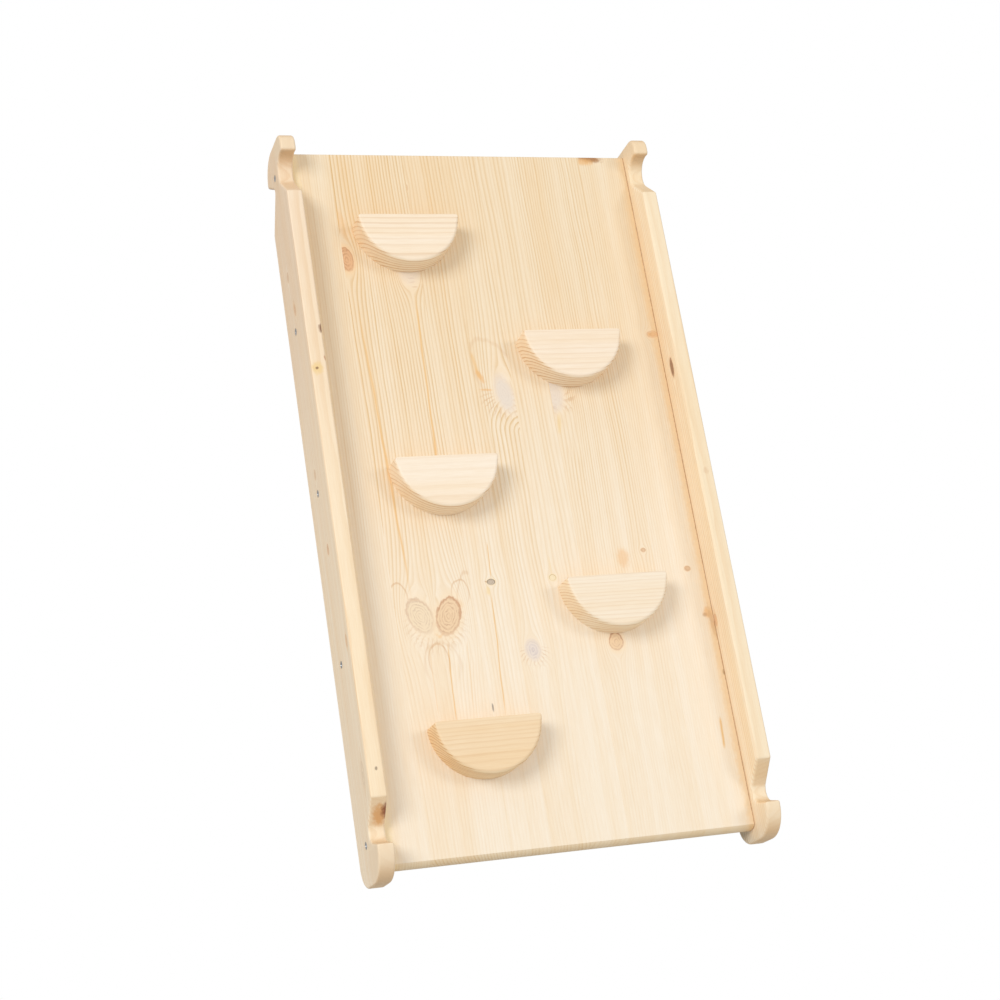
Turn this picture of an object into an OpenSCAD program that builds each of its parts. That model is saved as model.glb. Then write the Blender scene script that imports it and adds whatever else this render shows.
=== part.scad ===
// Climbing ramp for a play frame: an edge-glued softwood deck between two side rails,
// with half-round wooden steps on its front face and rung hooks cut into the rails' ends.
// The ramp lies on its back: X is across it, +Y runs up it and +Z is the climbing side.
// The origin is under the centre, on the plane of the rails' back edges. Millimetres.

/* [Deck] */
// Clear width of the deck between the two rails
deck_w = 414; // [400:1:460]
// Length of the deck along the ramp
deck_l = 822; // [790:1:920]
// Thickness of the deck boards
board_t = 18; // [15:1:20]
// Height of the deck's front face above the rails' back edges
deck_front_h = 45.5; // [43:0.5:48]
// Width of the first stave, beside the left rail
first_stave_w = 46; // [40:1:54]
// Width of a wide stave
wide_stave_w = 88.5; // [82:0.5:92]
// Width of a narrow stave
narrow_stave_w = 44; // [38:1:46]

/* [Rails] */
// Thickness of a side rail
rail_t = 18; // [15:1:22]
// Height of a side rail, back edge to front edge
rail_h = 80; // [78:1:90]
// How far the rails run past the top end of the deck
top_overhang = 9.5; // [6.5:0.5:12]
// How far the rails run past the bottom end of the deck
bottom_overhang = 13.5; // [10.5:0.5:20]
// Radius of the outer corner behind each lug
lug_corner_r = 33; // [26:1:34]
// Radius of the outer corner beside the round hook
hook_corner_r = 14; // [7:1:16]
// Radius of the heel, the bottom end's back corner
heel_r = 24; // [16:1:30]

/* [Round hook, top end, front edge] */
// Radius of the round seat
hook_r = 18.5; // [17:0.5:21]
// Depth of the seat below the front edge
hook_depth = 27; // [25:0.5:28.5]
// Distance from the rail's top end to the seat's centre
hook_from_end = 42; // [39.5:0.5:43.5]
// Slope of the lead-in ramp
hook_ramp = 47; // [40:1:50]
// Rounding of the lug's tip, between the seat and the front edge
hook_tip_r = 3.5; // [2:0.5:4]

/* [Notch, bottom end, front edge] */
// Radius of the notch's seat
front_notch_r = 12; // [11:0.5:14]
// Depth of the seat below the front edge
front_notch_depth = 27; // [25:0.5:28.5]
// Distance from the rail's bottom end to the seat's centre
front_notch_from_end = 51; // [50.5:0.5:56]
// Slope of the lead-in ramp
front_notch_ramp = 45; // [40:1:50]
// Lean of the lug's inner face, away from square
front_lug_lean = 12; // [5:1:15]

/* [Notch, top end, back edge] */
// Depth at which the ramp and the lug's face would meet
back_notch_depth = 31; // [28:0.5:32]
// Distance from the rail's top end to that meeting point
back_notch_from_end = 49; // [46:0.5:52]
// Slope of the lead-in ramp
back_notch_ramp = 36; // [33:1:42]
// Lean of the lug's inner face, away from square
back_lug_lean = 30; // [24:1:32]
// Radius in the root of the notch
back_notch_root_r = 6; // [4:0.5:8]

/* [Steps] */
// Radius of a half-round step
step_r = 59.5; // [52:0.5:62]
// How far a step stands off the deck
step_depth = 30; // [24:1:36]
// Height of the lowest step's flat edge above the deck's bottom end
first_step_up = 141.5; // [130:0.5:160]
// Spacing of the steps along the ramp
step_pitch = 147; // [140:0.5:154]
// Centre of the left-hand steps, left of the ramp's centre line
left_step_x = 86; // [76:0.5:100]
// Centre of the right-hand steps, right of the ramp's centre line
right_step_x = 87.5; // [76:0.5:100]

/* [Screws] */
// Diameter of a screw's shank
screw_d = 4; // [3:0.5:5]
// Diameter of a countersunk head
head_d = 8; // [7:0.5:9]
// Length of the screws that hold a rail
rail_screw_l = 50; // [40:1:60]
// Distance of the first and the last rail screw from the deck's ends
rail_screw_inset = 28; // [22:1:45]
// Depth of the rail screws behind the deck's front face
rail_screw_back = 8.5; // [7:0.5:10]
// How far the rail screws' heads are sunk below the rail's face
rail_screw_sink = 0.9; // [0:0.1:1.5]
// Length of the screws that hold a step
step_screw_l = 40; // [35:1:45]
// Distance between a step's two screws
step_screw_gap = 44; // [30:1:56]
// Distance of a step's screws below its flat edge
step_screw_down = 20; // [15:1:28]

/* [Hidden] */
$fn = 96;
eps = 0.01;                 // makes cuts break cleanly through a face
past = 1;                   // how far a cut runs past the outline that it opens
hole_play = 0.1;            // gap all round a screw in its hole
rail_screws = 5;            // screws in each rail
step_count = 5;
recess_w = 1.1;             // width of the slots of a screw's cross recess
recess_depth = 1.4;

// Deck
staves = [first_stave_w, wide_stave_w, narrow_stave_w, narrow_stave_w, narrow_stave_w, wide_stave_w,
          deck_w - first_stave_w - 2 * wide_stave_w - 3 * narrow_stave_w];
deck_back_h = deck_front_h - board_t;
function before(i) = i == 0 ? 0 : staves[i - 1] + before(i - 1);    // summed widths left of stave i

// Rails
rail_l = deck_l + top_overhang + bottom_overhang;
rail_top = rail_l / 2;
rail_bottom = -rail_l / 2;
deck_bottom = rail_bottom + bottom_overhang;

// Seats in the rails, as (y, z)
hook_seat = [rail_top - hook_from_end, rail_h - hook_depth + hook_r];
front_seat = [rail_bottom + front_notch_from_end, rail_h - front_notch_depth + front_notch_r];
back_meeting = [rail_top - back_notch_from_end, back_notch_depth];

// Screws
head_h = (head_d - screw_d) / 2;
tip_h = 1.5 * screw_d;
rail_screw_h = deck_front_h - rail_screw_back;
rail_screw_pitch = (deck_l - 2 * rail_screw_inset) / (rail_screws - 1);

// Colours
pine = [0.93, 0.83, 0.67];
pine_light = [0.95, 0.87, 0.73];
pine_warm = [0.90, 0.78, 0.60];
zinc = [0.72, 0.74, 0.76];

function polar(r, a) = [r * cos(a), r * sin(a)];
function rail_screw_y(i) = deck_bottom + rail_screw_inset + i * rail_screw_pitch;

// Steps are numbered from the top; odd ones are on the left.
function step_y(i) = deck_bottom + first_step_up + (step_count - i) * step_pitch;
function step_x(i) = i % 2 == 1 ? -left_step_x : right_step_x;
function step_screw_x(i, side) = step_x(i) + side * step_screw_gap / 2;

// ---- Screws and their holes -------------------------------------------------------------

// A countersunk screw along -Z with the top of its head at the origin
module screw(l) {
    difference() {
        union() {
            translate([0, 0, -head_h]) cylinder(h = head_h, d1 = screw_d, d2 = head_d);
            translate([0, 0, tip_h - l]) cylinder(h = l - tip_h - head_h + eps, d = screw_d);
            translate([0, 0, -l]) cylinder(h = tip_h, d1 = 0.4, d2 = screw_d);
        }
        for (turn = [0, 90])
            rotate([0, 0, turn])
                translate([-head_d / 4, -recess_w / 2, -recess_depth])
                    cube([head_d / 2, recess_w, recess_depth + past]);
    }
}

// The hole that a screw sits in; sink is how far its head lies below the surface
module screw_hole(l, sink) {
    translate([0, 0, -sink]) {
        translate([0, 0, -l - hole_play]) cylinder(h = l, d = screw_d + 2 * hole_play);
        translate([0, 0, -head_h - hole_play])
            cylinder(h = head_h, d1 = screw_d + 2 * hole_play, d2 = head_d + 2 * hole_play);
        translate([0, 0, -hole_play - eps])
            cylinder(h = sink + past, d = head_d + 2 * hole_play);
    }
}

// side is -1 for the left rail and 1 for the right one; +Z of the child points outwards
module at_rail_screws(side)
    for (i = [0 : rail_screws - 1])
        translate([side * (deck_w / 2 + rail_t), rail_screw_y(i), rail_screw_h])
            rotate([0, side * 90, 0])
                children();

// +Z of the child points out of the deck's back face
module at_step_screw(i, side)
    translate([step_screw_x(i, side), step_y(i) - step_screw_down, deck_back_h])
        rotate([180, 0, 0])
            children();

module rail_screw_set(side)
    color(zinc)
        at_rail_screws(side)
            translate([0, 0, -rail_screw_sink])
                screw(rail_screw_l);

module step_screw_pair(i)
    color(zinc)
        for (side = [-1, 1])
            at_step_screw(i, side)
                screw(step_screw_l);

// ---- Rails ------------------------------------------------------------------------------

// Rounds off a convex corner at a point; sx and sy say which way the corner points
module corner_waste(at, sx, sy, r)
    translate(at)
        mirror([sx < 0 ? 1 : 0, 0])
            mirror([0, sy < 0 ? 1 : 0])
                difference() {
                    translate([-r, -r]) square(r + past);
                    translate([-r, -r]) circle(r);
                }

// Round seat with a straight ramp leading down into it, and a rounded lug tip on its other side
module hook_waste() {
    ramp_foot = hook_seat + polar(hook_r, 270 - hook_ramp);
    rise = rail_h + past - ramp_foot[1];
    tip_up = rail_h - hook_tip_r - hook_seat[1];
    tip = hook_seat + [sqrt(pow(hook_r + hook_tip_r, 2) - pow(tip_up, 2)), tip_up];
    translate(hook_seat) circle(hook_r);
    polygon([hook_seat, ramp_foot, ramp_foot + [-rise / tan(hook_ramp), rise],
             [hook_seat[0], rail_h + past]]);
    difference() {
        polygon([hook_seat, tip, [tip[0], rail_h + past], [hook_seat[0], rail_h + past]]);
        translate(tip) circle(hook_tip_r);
    }
}

// Round seat between a leaning lug face and a ramp
module front_notch_waste() {
    lug_foot = front_seat + polar(front_notch_r, 180 + front_lug_lean);
    lug_rise = rail_h + past - lug_foot[1];
    ramp_foot = front_seat + polar(front_notch_r, 270 + front_notch_ramp);
    ramp_rise = rail_h + past - ramp_foot[1];
    translate(front_seat) circle(front_notch_r);
    polygon([front_seat, lug_foot, lug_foot + [-lug_rise * tan(front_lug_lean), lug_rise],
             ramp_foot + [ramp_rise / tan(front_notch_ramp), ramp_rise], ramp_foot]);
}

// Vee between a ramp and a leaning lug face, with a small radius in its root
module back_notch_waste() {
    ramp_dir = 180 + back_notch_ramp;
    lug_dir = 270 + back_lug_lean;
    half_vee = (lug_dir - ramp_dir) / 2;
    root = back_meeting + polar(back_notch_root_r / sin(half_vee), ramp_dir + half_vee);
    ramp_foot = root + polar(back_notch_root_r, ramp_dir - 90);
    lug_foot = root + polar(back_notch_root_r, lug_dir + 90);
    translate(root) circle(back_notch_root_r);
    polygon([root, ramp_foot,
             ramp_foot - (ramp_foot[1] + past) * [1 / tan(back_notch_ramp), 1],
             lug_foot + (lug_foot[1] + past) * [tan(back_lug_lean), -1],
             lug_foot]);
}

// Side view of a rail: x is along the ramp and y is height above the back edges
module rail_outline()
    difference() {
        translate([rail_bottom, 0]) square([rail_l, rail_h]);
        corner_waste([rail_top, rail_h], 1, 1, hook_corner_r);
        corner_waste([rail_top, 0], 1, -1, lug_corner_r);
        corner_waste([rail_bottom, rail_h], -1, 1, lug_corner_r);
        corner_waste([rail_bottom, 0], -1, -1, heel_r);
        hook_waste();
        front_notch_waste();
        back_notch_waste();
    }

module rail(side)
    color(pine_warm)
        difference() {
            translate([side > 0 ? deck_w / 2 : -deck_w / 2 - rail_t, 0, 0])
                rotate([90, 0, 90])
                    linear_extrude(rail_t)
                        rail_outline();
            at_rail_screws(side)
                screw_hole(rail_screw_l, rail_screw_sink);
        }

// ---- Deck -------------------------------------------------------------------------------

// Stave i, counted from 0 at the left rail, with the screw holes that fall in it
module deck_stave(i) {
    left = before(i) - deck_w / 2;
    right = left + staves[i];
    color(i % 2 == 0 ? pine : pine_light)
        difference() {
            translate([left, deck_bottom, deck_back_h]) cube([staves[i], deck_l, board_t]);
            if (left - rail_screw_l < -deck_w / 2)
                at_rail_screws(-1) screw_hole(rail_screw_l, rail_screw_sink);
            if (right + rail_screw_l > deck_w / 2)
                at_rail_screws(1) screw_hole(rail_screw_l, rail_screw_sink);
            for (s = [1 : step_count], side = [-1, 1])
                if (step_screw_x(s, side) + head_d > left && step_screw_x(s, side) - head_d < right)
                    at_step_screw(s, side) screw_hole(step_screw_l, 0);
        }
}

// ---- Steps ------------------------------------------------------------------------------

// Half-round block with its flat edge uppermost
module step(i)
    color(i == step_count ? pine_warm : pine_light)
        difference() {
            translate([step_x(i), step_y(i), deck_front_h])
                linear_extrude(step_depth)
                    intersection() {
                        circle(step_r);
                        translate([-step_r - past, -step_r - past])
                            square([2 * (step_r + past), step_r + past]);
                    }
            for (side = [-1, 1])
                at_step_screw(i, side) screw_hole(step_screw_l, 0);
        }

rail(-1);  // left_rail
rail(1);  // right_rail
deck_stave(0);  // deck_stave_1
deck_stave(1);  // deck_stave_2
deck_stave(2);  // deck_stave_3
deck_stave(3);  // deck_stave_4
deck_stave(4);  // deck_stave_5
deck_stave(5);  // deck_stave_6
deck_stave(6);  // deck_stave_7
step(1);  // step_1
step(2);  // step_2
step(3);  // step_3
step(4);  // step_4
step(5);  // step_5
rail_screw_set(-1);  // left_rail_screws
rail_screw_set(1);  // right_rail_screws
step_screw_pair(1);  // step_1_screws
step_screw_pair(2);  // step_2_screws
step_screw_pair(3);  // step_3_screws
step_screw_pair(4);  // step_4_screws
step_screw_pair(5);  // step_5_screws
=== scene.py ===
"""Looks of a wooden climbing ramp: pine deck, two hooked side rails, five half-round steps, screws.

Lengths in the tables below are millimetres; meshes are built in metres, in the CAD frame:
+X across the ramp, +Y up the ramp, +Z out of the deck on the climbing side.
"""

from collections import namedtuple
import math

import bmesh
import bpy
from mathutils import Matrix, Vector
from mathutils.geometry import intersect_line_line_2d


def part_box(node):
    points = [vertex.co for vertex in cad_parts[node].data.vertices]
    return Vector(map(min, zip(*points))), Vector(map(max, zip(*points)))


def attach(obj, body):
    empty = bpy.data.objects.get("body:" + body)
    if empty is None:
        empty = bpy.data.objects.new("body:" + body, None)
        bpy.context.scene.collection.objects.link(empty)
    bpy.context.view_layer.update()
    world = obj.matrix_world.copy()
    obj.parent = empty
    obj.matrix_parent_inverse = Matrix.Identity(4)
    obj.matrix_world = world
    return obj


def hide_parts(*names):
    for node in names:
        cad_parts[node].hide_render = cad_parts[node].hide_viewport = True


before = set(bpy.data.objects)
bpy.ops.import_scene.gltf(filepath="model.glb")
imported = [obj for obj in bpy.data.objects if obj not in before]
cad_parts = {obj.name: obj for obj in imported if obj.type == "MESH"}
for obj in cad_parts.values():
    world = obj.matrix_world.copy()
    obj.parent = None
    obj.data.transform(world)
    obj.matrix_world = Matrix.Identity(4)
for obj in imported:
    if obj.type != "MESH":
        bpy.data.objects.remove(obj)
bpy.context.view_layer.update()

MM = 0.001

# ---- Sizes, in millimetres ----------------------------------------------------------------

ARRIS_R = 2.3               # rounding of the sanded edges
HOOK_ARRIS_R = 2.7          # heavier rounding round the hooks at the top end
HOOK_ZONE = 78.0            # how much of the rail's top end has it
HOOK_BLEND = 15.0           # length over which one rounding turns into the other
RIGHT_INNER_R = 3.6         # rounding of the right rail's edges towards the deck
DECK_END_R = 15.0           # curve of the deck's bottom end, which meets the climbing side at an angle
DECK_END_SLOPE = 42.0       # that angle
OUTLINE_STEP = 0.8          # spacing of the points while an outline is being softened
OUTLINE_PASSES = 5
STEP_PASSES = 26            # the steps' corners are rounder
STEP_NOSE_R, STEP_BACK_R = 4.2, 1.1     # rounding of a step's face along its round edge and its flat edge
STEP_BLEND = 10.0           # length over which one turns into the other
STEP_FOOT_R = 0.4           # rounding of a step's edge on the deck
SEAM_R = 0.1                # rounding of the staves along their seams

# The rails' side view. HOOK is the round hook, FRONT the notch at the bottom end, BACK the vee notch.
# FROM_END is how far a seat lies from the rail's end; RAMP and LEAN are the slopes of its two sides.
HOOK_R, HOOK_DEPTH, HOOK_FROM_END, HOOK_RAMP, HOOK_TIP_R = 18.5, 27.0, 42.0, 47.0, 3.5
HOOK_CORNER_R, LUG_CORNER_R, HEEL_R = 14.0, 33.0, 24.0
LUG_START = -80.0           # angle at which the corner of the lug behind the hook starts
LUG_TIP_RISE = 1.0          # height of that lug's tip above the back edge
FRONT_R, FRONT_DEPTH, FRONT_FROM_END, FRONT_RAMP, FRONT_LEAN = 12.0, 27.0, 51.0, 45.0, 12.0
BACK_DEPTH, BACK_FROM_END, BACK_RAMP, BACK_LEAN, BACK_ROOT_R = 31.0, 49.0, 36.0, 30.0, 6.0

# The screws, the tool that cuts their holes, and the cross in their heads
HEAD_R, SHANK_R, HEAD_RIM, TIP_L = 4.0, 2.0, 0.25, 6.0
HOLE_PLAY, HOLE_DEPTH, HOLE_ABOVE = 0.1, 12.0, 10.0
RECESS_ARM, RECESS_HALF_W, RECESS_DEPTH = 2.2, 0.55, 2.0
RAIL_SCREW_LIFT = 0.88      # the rails' screws are driven less deep than their holes allow
RAIL_SCREWS, STEP_SCREWS = 5, 2
STEPS = range(1, 6)
STAVES = range(1, 8)

OUT_OF_BACK = Matrix.Rotation(math.pi, 4, "X")      # turns local +Z out of the deck's back


def out_of_rail(side):
    """Turns local +Z out of a rail's outer face."""
    return Matrix.Rotation(side * math.pi / 2, 4, "Y")


def size_of(node):
    """Lowest and highest corner of a CAD node's box, and its size."""
    low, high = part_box(node)
    return low, high, high - low


# ---- Mesh tools ---------------------------------------------------------------------------

def arc(centre, radius, start, end, count=20):
    """Points on an arc; angles in degrees, lengths in any one unit."""
    for i in range(count + 1):
        a = math.radians(start + (end - start) * i / count)
        yield Vector((centre[0] + radius * math.cos(a), centre[1] + radius * math.sin(a)))


def soften(points, step, passes):
    """Rounds the corners of a closed outline a little, then keeps only the points that its shape needs."""
    dense = []
    for i, p in enumerate(points):
        q = points[(i + 1) % len(points)]
        count = max(1, round((q - p).length / step))
        dense += [p.lerp(q, k / count) for k in range(count)]
    for _ in range(passes):
        dense = [0.25 * dense[i - 1] + 0.5 * p + 0.25 * dense[(i + 1) % len(dense)]
                 for i, p in enumerate(dense)]
    kept, turned, gone = [], 0.0, 0.0
    for i, p in enumerate(dense):
        before, after = p - dense[i - 1], dense[(i + 1) % len(dense)] - p
        turned += abs(before.angle_signed(after, 0))
        gone += before.length
        if i == 0 or turned > math.radians(3) or gone > 30 * step:
            kept.append(p)
            turned = gone = 0.0
    return kept


def inset(points, distances):
    """The outline with each point moved inwards by its own distance; the points run anticlockwise."""
    moved = []
    for i, p in enumerate(points):
        before = (p - points[i - 1]).normalized()
        after = (points[(i + 1) % len(points)] - p).normalized()
        along = (before + after).normalized()
        inward = Vector((-along.y, along.x))
        moved.append(p + inward * distances[i] / max(0.5, before.dot(along)))
    return untangle(moved) if any(distances) else moved


def untangle(points, reach=24):
    """Gathers the small loops that form where an outline is moved in past a tight corner."""
    count = len(points)
    for i in range(count):
        for step in range(reach, 1, -1):
            j = i + step
            crossing = intersect_line_line_2d(points[i], points[(i + 1) % count],
                                              points[j % count], points[(j + 1) % count])
            if crossing:
                for k in range(i + 1, j + 1):
                    points[k % count] = Vector(crossing)
                break
    return points


def slab(name, outline, thickness, place, near_r, far_r, rounds=5):
    """A board cut to an outline, with the edges of its two faces rounded.

    place(u, v, w) puts a point of the outline (u, v) at depth w of the board's thickness. near_r and far_r
    give the radius of the rounding at each point of the outline.
    """
    area = sum(p.x * outline[(i + 1) % len(outline)].y - p.y * outline[(i + 1) % len(outline)].x
               for i, p in enumerate(outline))
    if area < 0:
        outline = outline[::-1]
    bm = bmesh.new()
    rings = []
    for radius, base, sign, order in ((near_r, 0.0, 1, range(rounds + 1)),
                                      (far_r, thickness, -1, range(rounds, -1, -1))):
        radii = [radius(p) for p in outline]
        for k in order:
            a = math.pi / 2 * k / rounds
            moved = inset(outline, [r * (1 - math.sin(a)) for r in radii])
            rings.append([bm.verts.new(place(p.x, p.y, base + sign * r * (1 - math.cos(a))))
                          for p, r in zip(moved, radii)])
    for low, high in zip(rings, rings[1:]):
        for i in range(len(low)):
            j = (i + 1) % len(low)
            bm.faces.new((low[i], low[j], high[j], high[i]))
    bm.faces.new(rings[0][::-1])
    bm.faces.new(rings[-1])
    bmesh.ops.remove_doubles(bm, verts=bm.verts, dist=2e-6)
    bmesh.ops.dissolve_degenerate(bm, edges=bm.edges, dist=1e-6)
    bmesh.ops.recalc_face_normals(bm, faces=bm.faces)
    return mesh_object(name, bm)


def mesh_object(name, bm):
    """Turns a bmesh into an object of the scene."""
    mesh = bpy.data.meshes.new(name)
    bm.to_mesh(mesh)
    bm.free()
    piece = bpy.data.objects.new(name, mesh)
    bpy.context.scene.collection.objects.link(piece)
    return piece


def lathe(bm, profile, matrix, segments=48):
    """A closed turned solid round local Z; profile is (radius, z) from the axis out and back to it."""
    rings = []
    for radius, z in profile:
        if radius == 0:
            rings.append([bm.verts.new(matrix @ Vector((0, 0, z)))])
        else:
            turns = [2 * math.pi * k / segments for k in range(segments)]
            rings.append([bm.verts.new(matrix @ Vector((radius * math.cos(a), radius * math.sin(a), z)))
                          for a in turns])
    for low, high in zip(rings, rings[1:]):
        for k in range(segments):
            n = (k + 1) % segments
            corners = [low[k % len(low)], low[n % len(low)], high[n % len(high)], high[k % len(high)]]
            bm.faces.new(list(dict.fromkeys(corners)))


def apply_modifier(piece, modifier):
    """Bakes one modifier into the mesh."""
    bpy.context.view_layer.update()
    depsgraph = bpy.context.evaluated_depsgraph_get()
    mesh = bpy.data.meshes.new_from_object(piece.evaluated_get(depsgraph))
    piece.modifiers.remove(modifier)
    piece.data = mesh


def cut(piece, cutter):
    """Takes the cutter's shape out of the piece and deletes the cutter."""
    boolean = piece.modifiers.new("cut", "BOOLEAN")
    boolean.object = cutter
    boolean.solver = "EXACT"
    apply_modifier(piece, boolean)
    bpy.data.objects.remove(cutter)


def finish_piece(piece, node, material):
    """Shades the piece, gives it its material, hangs it under the root body and hides the CAD node that it
    stands for.
    """
    piece.data.materials.clear()
    piece.data.materials.append(material)
    piece.data.shade_smooth()
    piece.data.set_sharp_from_angle(angle=math.radians(38))
    weighted = piece.modifiers.new("even shading", "WEIGHTED_NORMAL")
    weighted.keep_sharp = True
    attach(piece, "root")
    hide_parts(node)


# ---- Screw places, read from the CAD nodes ------------------------------------------------

def screw_spots(node, count, axis):
    """Centres of the heads of a row of screws that share one CAD node, evenly spaced along an axis."""
    low, high, size = size_of(node)
    centre = (low + high) / 2
    first = low[axis] + HEAD_R * MM
    pitch = (size[axis] - 2 * HEAD_R * MM) / (count - 1)
    spots = []
    for i in range(count):
        spot = centre.copy()
        spot[axis] = first + i * pitch
        spots.append(spot)
    return spots


def rail_screw_spots(side, lift=0.0):
    """Centres of a rail's screw heads, on the outer side, moved out by lift metres."""
    node = "left_rail_screws" if side < 0 else "right_rail_screws"
    low, high, _ = size_of(node)
    spots = screw_spots(node, RAIL_SCREWS, 1)
    for spot in spots:
        spot.x = low.x - lift if side < 0 else high.x + lift
    return spots


def step_screw_spots(step):
    """Centres of the heads of a step's screws, on the deck's back."""
    low, _, _ = size_of(f"step_{step}_screws")
    spots = screw_spots(f"step_{step}_screws", STEP_SCREWS, 0)
    for spot in spots:
        spot.z = low.z
    return spots


def hole_cutter(name, spots, turn):
    """Countersunk holes; turn is the rotation that points local +Z out of the surface."""
    bm = bmesh.new()
    head, shank, play = HEAD_R * MM, SHANK_R * MM, HOLE_PLAY * MM
    foot, top = -HOLE_DEPTH * MM, HOLE_ABOVE * MM
    profile = [(0, foot), (shank + play, foot), (shank + play, shank - head - play),
               (head + play, -play), (head + play, top), (0, top)]
    for spot in spots:
        lathe(bm, profile, Matrix.Translation(spot) @ turn)
    bmesh.ops.recalc_face_normals(bm, faces=bm.faces)
    return mesh_object(name, bm)


# ---- Pieces -------------------------------------------------------------------------------

def rail_outline(rail_l, rail_h):
    """Side view of a rail in millimetres: u along the ramp from its middle, v above the back edge."""
    top, bottom = rail_l / 2, -rail_l / 2

    def polar(radius, angle):
        return Vector((radius * math.cos(math.radians(angle)), radius * math.sin(math.radians(angle))))

    points = list(arc((top - LUG_CORNER_R, LUG_CORNER_R), LUG_CORNER_R, LUG_START, 0))
    points += arc((top - HOOK_CORNER_R, rail_h - HOOK_CORNER_R), HOOK_CORNER_R, 0, 90)
    seat = Vector((top - HOOK_FROM_END, rail_h - HOOK_DEPTH + HOOK_R))
    tip_slope = math.degrees(math.asin((rail_h - HOOK_TIP_R - seat.y) / (HOOK_R + HOOK_TIP_R)))
    points += arc(seat + polar(HOOK_R + HOOK_TIP_R, tip_slope), HOOK_TIP_R, 90, 180 + tip_slope, 8)
    points += arc(seat, HOOK_R, tip_slope, -90 - HOOK_RAMP, 40)
    rise = rail_h - points[-1].y
    points.append(points[-1] + Vector((-rise / math.tan(math.radians(HOOK_RAMP)), rise)))
    seat = Vector((bottom + FRONT_FROM_END, rail_h - FRONT_DEPTH + FRONT_R))
    foot = seat + polar(FRONT_R, FRONT_RAMP - 90)
    points.append(foot + Vector(((rail_h - foot.y) / math.tan(math.radians(FRONT_RAMP)), rail_h - foot.y)))
    points += arc(seat, FRONT_R, FRONT_RAMP - 90, FRONT_LEAN - 180)
    rise = rail_h - points[-1].y
    points.append(points[-1] + Vector((-rise * math.tan(math.radians(FRONT_LEAN)), rise)))
    points += arc((bottom + LUG_CORNER_R, rail_h - LUG_CORNER_R), LUG_CORNER_R, 90, 180)
    points += arc((bottom + HEEL_R, HEEL_R), HEEL_R, 180, 270)
    half_vee = (90 + BACK_LEAN - BACK_RAMP) / 2
    meeting = Vector((top - BACK_FROM_END, BACK_DEPTH))
    root = meeting + polar(BACK_ROOT_R / math.sin(math.radians(half_vee)), 180 + BACK_RAMP + half_vee)
    ramp_foot = root + polar(BACK_ROOT_R, 90 + BACK_RAMP)
    points.append(ramp_foot - Vector((ramp_foot.y / math.tan(math.radians(BACK_RAMP)), ramp_foot.y)))
    points += arc(root, BACK_ROOT_R, 90 + BACK_RAMP, BACK_LEAN, 8)
    fall = points[-1].y - LUG_TIP_RISE
    points.append(points[-1] + Vector((fall * math.tan(math.radians(BACK_LEAN)), -fall)))
    return points


def make_rail(node, side, material):
    """A side rail, with the holes for its screws."""
    low, high, size = size_of(node)
    middle = (low + high) / 2
    outline = soften(rail_outline(size.y / MM, size.z / MM), OUTLINE_STEP, OUTLINE_PASSES)

    def arris_r(p):
        """More rounding towards the hooks."""
        share = (p.x - (size.y / 2 - HOOK_ZONE * MM)) / (HOOK_BLEND * MM)
        return (ARRIS_R + (HOOK_ARRIS_R - ARRIS_R) * min(1.0, max(0.0, share))) * MM

    def inner_arris_r(p):
        """The right rail is rounder towards the deck."""
        return max(arris_r(p), RIGHT_INNER_R * MM)

    rail = slab(node + "_board", [p * MM for p in outline], size.x,
                lambda u, v, w: Vector((low.x + w, middle.y + u, low.z + v)),
                arris_r if side < 0 else inner_arris_r, arris_r)
    cut(rail, hole_cutter("rail_holes", rail_screw_spots(side), out_of_rail(side)))
    finish_piece(rail, node, material)


def make_stave(number, material):
    """One stave of the deck, with the holes for the steps' screws that fall in it."""
    node = f"deck_stave_{number}"
    low, high, size = size_of(node)
    big, small = DECK_END_R * MM, ARRIS_R * MM
    centre = (low.y + big, high.z - big * math.sin(math.radians(90 - DECK_END_SLOPE)))
    outline = [*arc((low.y + small, low.z + small), small, 180, 270, 8),
               *arc((high.y - small, low.z + small), small, 270, 360, 8),
               *arc((high.y - small, high.z - small), small, 0, 90, 8),
               *arc(centre, big, 90 + DECK_END_SLOPE, 180, 12)]
    stave = slab(node + "_board", outline, size.x, lambda u, v, w: Vector((low.x + w, u, v)),
                 lambda p: SEAM_R * MM, lambda p: SEAM_R * MM, rounds=1)
    spots = [s for step in STEPS for s in step_screw_spots(step)
             if low.x - HEAD_R * MM < s.x < high.x + HEAD_R * MM]
    if spots:
        cut(stave, hole_cutter("deck_holes", spots, OUT_OF_BACK))
    finish_piece(stave, node, material)


def make_step(number, material):
    """A half-round step."""
    node = f"step_{number}"
    low, high, size = size_of(node)
    radius = size.x / 2
    centre = Vector(((low.x + high.x) / 2, high.y))
    outline = soften([p / MM for p in arc(centre, radius, 180, 360, 90)], OUTLINE_STEP, STEP_PASSES)

    def nose_r(p):
        """The round edge is sanded more than the flat one."""
        share = min(1.0, (high.y - p.y) / (STEP_BLEND * MM))
        return (STEP_BACK_R + (STEP_NOSE_R - STEP_BACK_R) * share) * MM

    step = slab(node + "_block", [p * MM for p in outline], size.z,
                lambda u, v, w: Vector((u, v, low.z + w)), lambda p: STEP_FOOT_R * MM, nose_r)
    finish_piece(step, node, material)


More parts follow.
